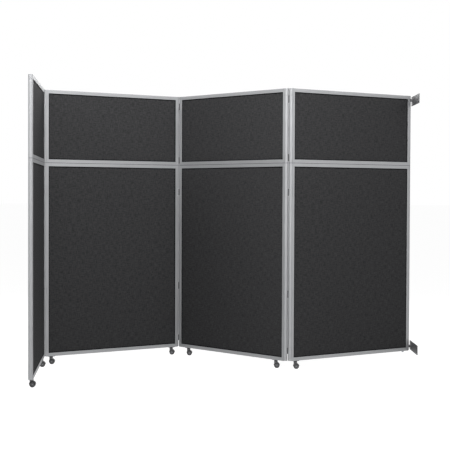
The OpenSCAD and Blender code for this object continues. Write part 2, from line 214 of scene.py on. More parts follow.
def shade_by_angle(mesh: bpy.types.Mesh, degrees: float) -> None:
    """Shades a mesh smooth, apart from its sharp edges.

    Args:
        mesh: The mesh.
        degrees: Edges sharper than this stay sharp.
    """
    mesh.shade_smooth()
    mesh.set_sharp_from_angle(angle=math.radians(degrees))


def soften_edges(node: bpy.types.Object, radius: float) -> None:
    """Rounds a frame node's sharp edges with modifiers, which leave its mesh as it is.

    Args:
        node: The frame node's object.
        radius: The radius of the rounding, in metres.
    """
    weld = node.modifiers.new("join_split_corners", "WELD")
    weld.merge_threshold = WELD_DISTANCE
    bevel = node.modifiers.new("soft_edges", "BEVEL")
    bevel.width = radius
    bevel.segments = BEVEL_STEPS
    bevel.limit_method = "ANGLE"
    bevel.angle_limit = math.radians(FACET_ANGLE)
    bevel.use_clamp_overlap = True
    bevel.miter_outer = "MITER_ARC"
    bevel.harden_normals = False
    normals = node.modifiers.new("face_normals", "WEIGHTED_NORMAL")
    normals.keep_sharp = True


def dress(node_name: str, material: bpy.types.Material, radius: float = 0.0) -> None:
    """Gives a frame node its finish and soft edges.

    Args:
        node_name: The node's name.
        material: Its finish.
        radius: The radius of its edges, or 0 to leave them.
    """
    node = frame["nodes"][node_name]
    node.data.materials.clear()
    node.data.materials.append(material)
    if radius > 0:
        soften_edges(node, radius)
    LOG.info("dressed %s with %s", node_name, material.name)


def lathe(profile: list[tuple[float, float]], sides: int) -> tuple[list, list]:
    """Turns a closed profile about the Y axis.

    Args:
        profile: Points as (radius, place along Y), in order round the section.
        sides: The number of steps in a full turn.

    Returns:
        The points and the faces.
    """
    points = []
    for step in range(sides):
        angle = 2 * math.pi * step / sides
        points += [(r * math.cos(angle), y, r * math.sin(angle)) for r, y in profile]
    count = len(profile)
    faces = []
    for step in range(sides):
        here, there = step * count, (step + 1) % sides * count
        for i in range(count):
            j = (i + 1) % count
            faces.append((here + i, here + j, there + j, there + i))
    return points, faces


def arc(centre: tuple[float, float], radius: float, start: float, end: float, steps: int) -> list:
    """Gives points on an arc.

    Args:
        centre: The arc's centre.
        radius: Its radius.
        start: The angle of its first point, in degrees.
        end: The angle of its last point, in degrees.
        steps: The number of stretches between points.

    Returns:
        The points, both ends included.
    """
    angles = [math.radians(start + (end - start) * i / steps) for i in range(steps + 1)]
    return [(centre[0] + radius * math.cos(a), centre[1] + radius * math.sin(a)) for a in angles]


def extrude(outline: list[tuple[float, float]], low: float, high: float) -> tuple[list, list]:
    """Raises an outline in plan between two heights.

    Args:
        outline: Points in X and Y, anticlockwise.
        low: The lower height.
        high: The upper height.

    Returns:
        The points and the faces.
    """
    count = len(outline)
    points = [(x, y, z) for z in (low, high) for x, y in outline]
    faces = [tuple(reversed(range(count))), tuple(range(count, 2 * count))]
    faces += [(i, (i + 1) % count, count + (i + 1) % count, count + i) for i in range(count)]
    return points, faces


def merge(parts: list[tuple[list, list]]) -> tuple[list, list]:
    """Joins several lists of points and faces into one.

    Args:
        parts: The points and faces of each part.

    Returns:
        All the points and faces, renumbered.
    """
    points: list = []
    faces: list = []
    for part_points, part_faces in parts:
        start = len(points)
        points += part_points
        faces += [tuple(start + i for i in face) for face in part_faces]
    return points, faces


# ---- Finishes ----


def linear(colour: str) -> tuple[float, float, float, float]:
    """Turns an sRGB colour into a linear one.

    Args:
        colour: The colour as #rrggbb.

    Returns:
        Red, green, blue and an alpha of 1.
    """
    values = [int(colour[i : i + 2], 16) / 255 for i in (1, 3, 5)]
    return (*[v / 12.92 if v <= 0.04045 else ((v + 0.055) / 1.055) ** 2.4 for v in values], 1.0)


def add_node(
    tree: bpy.types.NodeTree, kind: str, inputs: dict | None = None, **settings: Any
) -> bpy.types.Node:
    """Adds a node with its settings, values and links.

    Args:
        tree: The node tree.
        kind: The node's type, without the leading ShaderNode.
        inputs: Socket names or numbers, each with a value, with the output that feeds it, or with the
            node whose first output does.
        **settings: The node's own properties.

    Returns:
        The new node.
    """
    node = tree.nodes.new("ShaderNode" + kind)
    for name, value in settings.items():
        setattr(node, name, value)
    for socket, value in (inputs or {}).items():
        if isinstance(value, bpy.types.Node):
            value = value.outputs[0]
        if isinstance(value, bpy.types.NodeSocket):
            tree.links.new(value, node.inputs[socket])
        else:
            node.inputs[socket].default_value = value
    return node


def new_material(name: str) -> tuple[bpy.types.Material, bpy.types.NodeTree]:
    """Starts a material with an empty tree.

    Args:
        name: The material's name.

    Returns:
        The material and its node tree.
    """
    material = bpy.data.materials.new(name)
    material.use_nodes = True
    material.node_tree.nodes.clear()
    return material, material.node_tree


def object_space(tree: bpy.types.NodeTree, scale: tuple, turn: float = 0.0) -> bpy.types.Node:
    """Gives object coordinates, turned about Z and then scaled.

    Args:
        tree: The material's node tree.
        scale: Periods per metre along each axis.
        turn: The turn about Z, in radians.

    Returns:
        The node that gives the coordinates.
    """
    place = add_node(tree, "TexCoord").outputs["Object"]
    turned = add_node(tree, "VectorRotate", {"Vector": place, "Angle": turn}, rotation_type="Z_AXIS")
    return add_node(tree, "VectorMath", {0: turned, 1: scale}, operation="MULTIPLY")


class Grain(Enum):
    """The way that an extrusion's die lines run."""

    UPRIGHT = "upright"
    LEVEL = "level"


@dataclass(frozen=True)
class AnodisedAluminium:
    """Extruded aluminium, etched matt and clear anodised.

    The etch gives a satin, slightly cloudy grey. The die leaves fine straight lines along the length.
    """

    name: str
    grain: Grain = Grain.UPRIGHT
    heading: float = 0.0
    colour_low: str = "#a2a3a5"
    colour_high: str = "#aaabad"
    # The etched, porous skin scatters most of the light, so the metal is far from a mirror.
    metallic: float = 0.4
    gloss: float = 0.15
    roughness: tuple[float, float] = (0.45, 0.57)
    line_pitch: float = 1.6 * MM
    line_length: float = 700 * MM
    line_strength: float = 0.12
    line_depth: float = 0.03 * MM
    cloud: float = 90 * MM
    # Painted shade: a dark line along the joint between the two stacked sections, where the groove between
    # them lies in shade.
    seam_height: float = 0.0
    seam_shade_half: float = 1.5 * MM
    seam_shade_colour: str = "#2c2c2e"

    def build(self) -> bpy.types.Material:
        """Makes the material.

        Returns:
            The material.
        """
        material, tree = new_material(self.name)
        across, along = 1 / self.line_pitch, 1 / self.line_length
        scale = (across, across, along) if self.grain is Grain.UPRIGHT else (along, across, across)
        place = object_space(tree, scale, -self.heading)
        lines = add_node(tree, "TexNoise", {"Vector": place, "Scale": 1.0, "Detail": 2.0})
        place = object_space(tree, (1 / self.cloud,) * 3)
        clouds = add_node(tree, "TexNoise", {"Vector": place, "Scale": 1.0, "Detail": 3.0})
        ends = {6: linear(self.colour_low), 7: linear(self.colour_high)}
        metal = add_node(tree, "Mix", {0: clouds, **ends}, data_type="RGBA").outputs[2]
        # Painted shade: the band along the seam takes the dark seam colour.
        ends = {6: metal, 7: linear(self.seam_shade_colour)}
        colour = add_node(tree, "Mix", {0: self._painted_seam_shade(tree), **ends}, data_type="RGBA").outputs[2]
        low, high = self.roughness
        relief = {"Height": lines, "Strength": self.line_strength, "Distance": self.line_depth}
        shader = add_node(
            tree,
            "BsdfPrincipled",
            {
                "Base Color": colour,
                "Metallic": self.metallic,
                "Specular IOR Level": self.gloss,
                "Roughness": add_node(tree, "MapRange", {"Value": lines, "To Min": low, "To Max": high}),
                "Normal": add_node(tree, "Bump", relief),
            },
        )
        add_node(tree, "OutputMaterial", {"Surface": shader})
        return material

    def _painted_seam_shade(self, tree: bpy.types.NodeTree) -> bpy.types.Node:
        """Gives 1 in the band of painted shade along the seam between the two sections, and 0 elsewhere.

        Args:
            tree: The material's node tree.

        Returns:
            The node that gives it.
        """
        height = add_node(tree, "SeparateXYZ", {0: object_space(tree, (1.0, 1.0, 1.0))}).outputs["Z"]
        above = add_node(tree, "Math", {0: height, 1: self.seam_height}, operation="SUBTRACT")
        away = add_node(tree, "Math", {0: above}, operation="ABSOLUTE")
        return add_node(tree, "Math", {0: away, 1: self.seam_shade_half}, operation="LESS_THAN")


@dataclass(frozen=True)
class WovenPanelFabric:
    """Plain-woven polyester panel cloth, piece dyed charcoal.

    Warp and weft cross in small even cells. Slubs in both leave short faint dashes, upright and
    level, and the loose fibres give a weak sheen at a low angle.
    """

    name: str = "woven_polyester_charcoal"
    warp: str = "#454546"
    weft: str = "#3a3a3b"
    slub_dark: str = "#1e1e1f"
    # The real cloth has a thread about every 1.2 mm. It is drawn coarser, so that it shows from near by.
    thread_pitch: float = 3.2 * MM
    # The slubs are thick places in the yarn. They too are drawn coarser than the real 1 to 2 mm.
    slub_width: float = 7 * MM
    slub_length: float = 45 * MM
    slub_strength: float = 0.6
    slub_roughness: float = 0.6
    # The two noises' sum at which a slub is at its darkest, and the one at which it has gone.
    slub_range: tuple[float, float] = (0.8, 1.2)
    # The weave's height, up or down, from which a point has one yarn's colour alone.
    yarn_height: float = 0.4
    fuzz: float = 0.8 * MM
    relief_strength: float = 0.6
    relief_depth: float = 0.3 * MM
    roughness: float = 0.92
    gloss: float = 0.06
    sheen: float = 0.02
    sheen_roughness: float = 0.6
    sheen_colour: str = "#8c8c90"

    def build(self) -> bpy.types.Material:
        """Makes the material.

        Returns:
            The material.
        """
        material, tree = new_material(self.name)
        weave = self._weave(tree)
        span = {"Value": weave, "From Min": -self.yarn_height, "From Max": self.yarn_height}
        over = add_node(tree, "MapRange", span)
        ends = {6: linear(self.weft), 7: linear(self.warp)}
        threads = add_node(tree, "Mix", {0: over, **ends}, data_type="RGBA").outputs[2]
        ends = {6: threads, 7: linear(self.slub_dark)}
        cloth = add_node(tree, "Mix", {0: self._slubs(tree), **ends}, data_type="RGBA").outputs[2]
        place = object_space(tree, (1 / self.fuzz,) * 3)
        fuzz = add_node(tree, "TexNoise", {"Vector": place, "Scale": 1.0, "Detail": 2.0})
        height = add_node(tree, "Math", {0: weave, 1: fuzz}, operation="ADD")
        relief = {"Height": height, "Strength": self.relief_strength, "Distance": self.relief_depth}
        shader = add_node(
            tree,
            "BsdfPrincipled",
            {
                "Base Color": cloth,
                "Roughness": self.roughness,
                "Specular IOR Level": self.gloss,
                "Sheen Weight": self.sheen,
                "Sheen Roughness": self.sheen_roughness,
                "Sheen Tint": linear(self.sheen_colour),
                "Normal": add_node(tree, "Bump", relief),
            },
        )
        add_node(tree, "OutputMaterial", {"Surface": shader})
        return material

    def _slubs(self, tree: bpy.types.NodeTree) -> bpy.types.Node:
        """Gives how far the yarns sink back: short dark dashes along the warp and along the weft.

        Args:
            tree: The material's node tree.

        Returns:
            The node that gives it, from 0 to the slubs' strength.
        """
        wide, long = 1 / self.slub_width, 1 / self.slub_length
        look = {"Scale": 1.0, "Detail": 2.0, "Roughness": self.slub_roughness}
        dashes = [
            add_node(tree, "TexNoise", {"Vector": object_space(tree, scale), **look})
            for scale in ((wide, 1.0, long), (long, 1.0, wide))
        ]
        span = {
            "Value": add_node(tree, "Math", {0: dashes[0], 1: dashes[1]}, operation="ADD"),
            "From Min": self.slub_range[0],
            "From Max": self.slub_range[1],
            "To Min": self.slub_strength,
            "To Max": 0.0,
        }
        return add_node(tree, "MapRange", span)

    def _weave(self, tree: bpy.types.NodeTree) -> bpy.types.Node:
        """Gives a plain weave's height, above 0 where the warp is on top.

        Args:
            tree: The material's node tree.

        Returns:
            The node that gives the height, from -1 to 1.
        """
        angle = math.pi / self.thread_pitch
        split = add_node(tree, "SeparateXYZ", {0: object_space(tree, (angle, angle, angle))})
        across, up = (
            add_node(tree, "Math", {0: split.outputs[axis]}, operation="SINE") for axis in ("X", "Z")
        )
        return add_node(tree, "Math", {0: across, 1: up}, operation="MULTIPLY")


@dataclass(frozen=True)
class CoatedSurface:
    """A dense, even surface with a fine grain: paint, rubber or moulded plastic.

    Colour and roughness drift a little over the surface, and the grain breaks up the gloss.
    """

    name: str
    colour_low: str
    colour_high: str
    roughness: float
    grain: float
    depth: float
    metallic: float = 0.0
    ior: float = 1.5
    drift: float = 40 * MM
    spread: float = 0.05
    grain_strength: float = 0.5

    def build(self) -> bpy.types.Material:
        """Makes the material.

        Returns:
            The material.
        """
        material, tree = new_material(self.name)
        place = object_space(tree, (1 / self.drift,) * 3)
        drift = add_node(tree, "TexNoise", {"Vector": place, "Scale": 1.0, "Detail": 3.0})
        place = object_space(tree, (1 / self.grain,) * 3)
        grain = add_node(tree, "TexNoise", {"Vector": place, "Scale": 1.0, "Detail": 2.0})
        ends = {6: linear(self.colour_low), 7: linear(self.colour_high)}
        low, high = self.roughness - self.spread, self.roughness + self.spread
        relief = {"Height": grain, "Strength": self.grain_strength, "Distance": self.depth}
        shader = add_node(
            tree,
            "BsdfPrincipled",
            {
                "Base Color": add_node(tree, "Mix", {0: drift, **ends}, data_type="RGBA").outputs[2],
                "Metallic": self.metallic,
                "IOR": self.ior,
                "Roughness": add_node(tree, "MapRange", {"Value": drift, "To Min": low, "To Max": high}),
                "Normal": add_node(tree, "Bump", relief),
            },
        )
        add_node(tree, "OutputMaterial", {"Surface": shader})
        return material


@dataclass(frozen=True)
class KnuckleCasting:
    """Die-cast aluminium, shot blasted, with a coat that stops short of the knuckles.

    The knuckles turn inside the rounded edges and keep the blasted metal's satin grey, so that the
    edges look unbroken. The coat covers the rest: the arm between two panels, or a wall plate.
    """

    name: str
    pivots: tuple[Vector, ...]
    coat_low: str = "#161617"
    coat_high: str = "#1f1f20"
    metal_low: str = "#a1a2a4"
    metal_high: str = "#a9aaac"
    metallic: float = 0.4
    # Just inside the rounded edges, whose radius is 19 mm.
    reach: float = 18.9 * MM
    coat_roughness: float = 0.52
    metal_roughness: float = 0.45
    grain: float = 1.1 * MM
    grain_strength: float = 0.4
    grain_depth: float = 0.03 * MM

    def build(self) -> bpy.types.Material:
        """Makes the material.

        Returns:
            The material.
        """
        material, tree = new_material(self.name)
        bare = self._bare(tree)
        place = object_space(tree, (1 / self.grain,) * 3)
        grain = add_node(tree, "TexNoise", {"Vector": place, "Scale": 1.0, "Detail": 3.0})
        coat, metal = (
            add_node(tree, "Mix", {0: grain, 6: linear(low), 7: linear(high)}, data_type="RGBA").outputs[2]
            for low, high in ((self.coat_low, self.coat_high), (self.metal_low, self.metal_high))
        )
        colour = add_node(tree, "Mix", {0: bare, 6: coat, 7: metal}, data_type="RGBA").outputs[2]
        metallic = {"Value": bare, "To Min": 0.0, "To Max": self.metallic}
        roughness = {"Value": bare, "To Min": self.coat_roughness, "To Max": self.metal_roughness}
        relief = {"Height": grain, "Strength": self.grain_strength, "Distance": self.grain_depth}
        shader = add_node(
            tree,
            "BsdfPrincipled",
            {
                "Base Color": colour,
                "Metallic": add_node(tree, "MapRange", metallic),
                "Roughness": add_node(tree, "MapRange", roughness),
                "Normal": add_node(tree, "Bump", relief),
            },
        )
        add_node(tree, "OutputMaterial", {"Surface": shader})
        return material

    def _bare(self, tree: bpy.types.NodeTree) -> bpy.types.Node:
        """Gives 1 within reach of a pivot's axis, where the metal is bare, and 0 elsewhere.

        Args:
            tree: The material's node tree.

        Returns:
            The node that gives it.
        """
        place = object_space(tree, (1.0, 1.0, 0.0))
        bare = None
        for pivot in self.pivots:
            axis = (pivot.x, pivot.y, 0.0)
            away = add_node(tree, "VectorMath", {0: place, 1: axis}, operation="DISTANCE").outputs["Value"]
            near = add_node(tree, "Math", {0: away, 1: self.reach}, operation="LESS_THAN")
            if bare is not None:
                near = add_node(tree, "Math", {0: bare, 1: near}, operation="MAXIMUM")
            bare = near
        return bare


# EPDM rubber, extruded: matt near-black with a faint bloom.
EPDM_BEAD = CoatedSurface("epdm_rubber_bead", "#08080a", "#0e0e10", 0.9, 0.6 * MM, 0.02 * MM, ior=1.3)
# Soft PVC, extruded: smooth and light grey.
PVC_SEAL = CoatedSurface("soft_pvc_seal", "#a8a9ab", "#b2b3b5", 0.5, 0.9 * MM, 0.02 * MM, ior=1.53)
# Mild steel, bright zinc plated: a cool grey metal with a fine frosted crystal.
ZINC_STEEL = CoatedSurface(
    "zinc_plated_steel", "#9a9ca0", "#adb0b5", 0.38, 1.2 * MM, 0.01 * MM, metallic=1.0, drift=12 * MM
)
# Steel caster plate, thin dark grey powder coat.
POWDER_CASTER = CoatedSurface("powder_coated_caster_plate", "#343436", "#3d3d3f", 0.5, 1.1 * MM, 0.02 * MM)
# Glass-filled nylon, moulded: spark-eroded mould texture, a little lighter where the fibres float.
NYLON_YOKE = CoatedSurface(
    "glass_filled_nylon_yoke", "#5a5a5c", "#666668", 0.46, 0.7 * MM, 0.03 * MM, ior=1.53
)
NYLON_HUB = CoatedSurface("glass_filled_nylon_hub", "#4a4a4c", "#5a5a5c", 0.42, 0.7 * MM, 0.02 * MM, ior=1.53)
# Thermoplastic rubber tyre, moulded: matt, in a slightly uneven dark grey.
RUBBER_TYRE = CoatedSurface("thermoplastic_rubber_tyre", "#232324", "#2f2f30", 0.7, 1.0 * MM, 0.04 * MM)
# Honeycomb board with kraft facing: dull brown paper.
KRAFT_BOARD = CoatedSurface("kraft_faced_board", "#a58f6d", "#b49d7a", 0.85, 1.5 * MM, 0.05 * MM, ior=1.45)


# ---- Sub-assemblies ----


class Side(Enum):
    """A panel's two faces, by the sign of Y in the panel's frame."""

    FRONT = -1
    BACK = 1


@dataclass
class FabricFace:
    """One fabric face, stretched over its core board and tucked under the bead.

    The cloth lies in the plane of X and Z of the panel's frame. It is held down along its edge and
    stands a little higher where the board's soft facing carries it.
    """

    name: str
    x: tuple[float, float]
    z: tuple[float, float]
    side: Side
    board: float
    skin: float
    lift: float = 1.1 * MM
    tucked: float = 19 * MM
    slope: float = 26 * MM
    # Left free behind the cloth, and between its edge and the bead.
    air: float = 0.08 * MM
    step: float = 46 * MM
    # The cloth's unevenness: a short wave that sways on its way up, and a long one that runs aslant.
    # The waves are in radians per metre, the long one's across and up.
    ripple: float = 0.18 * MM
    short_wave: float = 21
    sway: float = 1.3
    sway_wave: float = 4.1
    long_wave: tuple[float, float] = (9.3, 2.7)
    long_share: float = 0.6
    smooth_angle: float = 60
    # The cut edge is rolled thin: this share of the cloth's thickness, over this width.
    rolled_share: float = 0.55
    rolled_width: float = 0.8 * MM
    # The grid's lines near an edge, in metres from it.
    edge_stops: tuple[float, ...] = (0.0, 0.0008, 0.003, 0.010, 0.015, 0.019, 0.024, 0.030, 0.038)

    def _stops(self, low: float, high: float) -> list[float]:
        """Places the grid lines between two edges, closer together near the edges.

        Args:
            low: The lower edge.
            high: The upper edge.

        Returns:
            The grid lines' coordinates, from low to high.
        """
        edge = [low + stop for stop in self.edge_stops]
        far_edge = [high - stop for stop in reversed(self.edge_stops)]
        count = max(2, round((far_edge[0] - edge[-1]) / self.step))
        middle = [edge[-1] + (far_edge[0] - edge[-1]) * i / count for i in range(1, count)]
        return edge + middle + far_edge

    def _height(self, x: float, z: float) -> float:
        """Gives the cloth's outer face at a point, as a distance from the panel's middle plane.

        Args:
            x: The place across the panel.
            z: The place up the panel.

        Returns:
            The distance in metres.
        """
        inset = min(x - self.x[0], self.x[1] - x, z - self.z[0], self.z[1] - z)
        rolled = self.rolled_share + (1 - self.rolled_share) * min(1.0, inset / self.rolled_width)
        rise = min(1.0, max(0.0, (inset - self.tucked) / self.slope))
        rise = rise * rise * (3 - 2 * rise)
        skin = self.skin - self.air
        return self.board + skin * rolled + rise * (self.lift + self.ripple * self._wave(x, z))

    def _wave(self, x: float, z: float) -> float:
        """Gives the cloth's slight unevenness: two waves that cross, about 0.3 and 0.7 m long.

        Args:
            x: The place across the panel.
            z: The place up the panel.

        Returns:
            The height, from -1.6 to 1.6.
        """
        short = math.sin(x * self.short_wave + self.sway * math.sin(z * self.sway_wave))
        long = math.sin(x * self.long_wave[0] + z * self.long_wave[1])
        return short + self.long_share * long

    def build(self, material: bpy.types.Material, matrix: Matrix) -> bpy.types.Object:
        """Makes the cloth as a closed thin sheet.

        Args:
            material: Its finish.
            matrix: The panel's frame.

        Returns:
            The piece.
        """
        xs, zs = self._stops(*self.x), self._stops(*self.z)
        sign = self.side.value
        outer = [(x, sign * self._height(x, z), z) for x in xs for z in zs]
        inner = [(x, sign * (self.board + self.air), z) for x in xs for z in zs]
        rows, count = len(zs), len(outer)
        faces = []
        for i in range(len(xs) - 1):
            for j in range(rows - 1):
                a = i * rows + j
                quad = (a, a + 1, a + rows + 1, a + rows)
                faces.append(quad if sign > 0 else quad[::-1])
                back = tuple(count + corner for corner in quad)
                faces.append(back[::-1] if sign > 0 else back)
        for a, b in self._rim(len(xs), rows):
            wall = (a, b, count + b, count + a)
            faces.append(wall[::-1] if sign > 0 else wall)
        return add_mesh(self.name, outer + inner, faces, material, matrix, self.smooth_angle)

    @staticmethod
    def _rim(columns: int, rows: int) -> list[tuple[int, int]]:
        """Lists the grid's outer edges as pairs of corners, in order round the grid.

        Args:
            columns: The number of grid lines across.
            rows: The number of grid lines up.

        Returns:
            The pairs.
        """
        last = (columns - 1) * rows
        loop = [*range(rows)]
        loop += [i * rows + rows - 1 for i in range(1, columns)]
        loop += [last + j for j in range(rows - 2, -1, -1)]
        loop += [i * rows for i in range(columns - 2, 0, -1)]
        return list(zip(loop, loop[1:] + loop[:1]))

    def flat(self) -> tuple[float, float]:
        """Gives the width and height that the cloth was cut to."""
        return (self.x[1] - self.x[0], self.z[1] - self.z[0])


@dataclass
class RetainingBead:
    """A rubber bead round one fabric face, with a rounded inner lip and mitred corners."""

    x: tuple[float, float]
    z: tuple[float, float]
    side: Side
    low: float
    high: float
    width: float
    arc_steps: int = 5

    def build(self) -> tuple[list, list]:
        """Makes the ring, with its mitres at the frame's corners.

        Returns:
            Its points and faces in the panel's frame.
        """
        rise = self.high - self.low
        lip = [(self.width - rise + x, y) for x, y in arc((0.0, self.low), rise, 90, 0, self.arc_steps)]
        profile = [(0.0, self.low), (0.0, self.high), *lip]
        sign = self.side.value
        points = []
        for inset, height in profile:
            x0, x1 = self.x[0] + inset, self.x[1] - inset
            z0, z1 = self.z[0] + inset, self.z[1] - inset
            points += [(x, sign * height, z) for x, z in ((x0, z0), (x1, z0), (x1, z1), (x0, z1))]
        faces = []
        for i in range(len(profile)):
            here, there = 4 * i, 4 * ((i + 1) % len(profile))
            for a in range(4):
                b = (a + 1) % 4
                quad = (here + a, here + b, there + b, there + a)
                faces.append(quad if sign < 0 else quad[::-1])
        return points, faces


@dataclass
class Panel:
    """One framed panel: two stacked sections with extrusions, boards, fabric and beads."""

    number: int
    cloth: bpy.types.Material
    bead: bpy.types.Material
    upright: bpy.types.Material
    board: bpy.types.Material
    zinc: bpy.types.Material
    plate: bpy.types.Material
    edge_radius: float = 0.7 * MM
    rail_radius: float = 1.2 * MM
    bead_lap: float = 3.5 * MM
    bead_smooth_angle: float = 50
    matrix: Matrix = field(init=False)

    def __post_init__(self) -> None:
        """Works out the panel's frame."""
        self.matrix = panel_matrix(self.number)

    @property
    def body(self) -> str:
        """The frame body that the panel's pieces ride on."""
        return f"panel_{self.number}"

    def node(self, part: str) -> str:
        """Gives the name of one of the panel's frame nodes."""
        return f"{self.body}_{part}"

    def build(self) -> None:
        """Dresses the panel's frame nodes and makes its pieces."""
        heading = math.atan2(self.matrix[1][0], self.matrix[0][0])
        rails = AnodisedAluminium(
            f"anodised_aluminium_rail_{self.number}", Grain.LEVEL, heading, seam_height=seam_height()
        ).build()
        dress(self.node("stiles"), self.upright, self.edge_radius)
        dress(self.node("hinge_edges"), self.upright, self.edge_radius)
        dress(self.node("rails"), rails, self.rail_radius)
        dress(self.node("core_boards"), self.board)
        dress(self.node("frame_hardware"), self.zinc)
        dress(self.node("caster_plates"), self.plate, self.edge_radius)
        self._fabric()
        self._beads()

    def _fabric(self) -> None:
        """Makes the four fabric faces."""
        source = self.node("fabric")
        x, y, z = (levels(source, self.matrix, axis) for axis in range(3))
        for side in Side:
            for level, low, high in (("lower", z[0], z[1]), ("upper", z[2], z[3])):
                name = f"{self.body}_{side.name.lower()}_{level}_fabric"
                face = FabricFace(name, (x[0], x[-1]), (low, high), side, y[-2], y[-1] - y[-2])
                piece = face.build(self.cloth, self.matrix)
                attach(piece, self.body)
                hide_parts(source)
                LOG.info("made %s, cut to %.3f by %.3f m", name, *face.flat())

    def _beads(self) -> None:
        """Makes the four retaining beads as one piece."""
        source = self.node("beads")
        x, y, z = (levels(source, self.matrix, axis) for axis in range(3))
        width = x[1] - x[0] + self.bead_lap
        # Of the eight levels, four are the lower ring's and four the upper one's.
        rings = [
            RetainingBead((x[0], x[-1]), (z[i], z[i + 3]), side, y[-2], y[-1], width).build()
            for side in Side
            for i in (0, 4)
        ]
        name = f"{self.body}_rounded_beads"
        piece = add_mesh(name, *merge(rings), self.bead, self.matrix, self.bead_smooth_angle)
        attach(piece, self.body)
        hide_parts(source)
        LOG.info("made %s", piece.name)


@dataclass
class HingeCorner:
    """The double-pivot hinge between two panels: blocks, pins and seals."""

    number: int
    zinc: bpy.types.Material
    seal: bpy.types.Material
    edge_radius: float = 0.6 * MM

    def build(self) -> None:
        """Dresses the hinge's frame nodes."""
        pivots = tuple(joint_place(f"corner_{self.number}_{side}") for side in ("far", "near"))
        block = KnuckleCasting(f"die_cast_hinge_block_{self.number}", pivots).build()
        dress(f"hinge_{self.number}_blocks", block, self.edge_radius)
        dress(f"hinge_{self.number}_pins", self.zinc)
        dress(f"hinge_{self.number}_seals", self.seal, self.edge_radius)


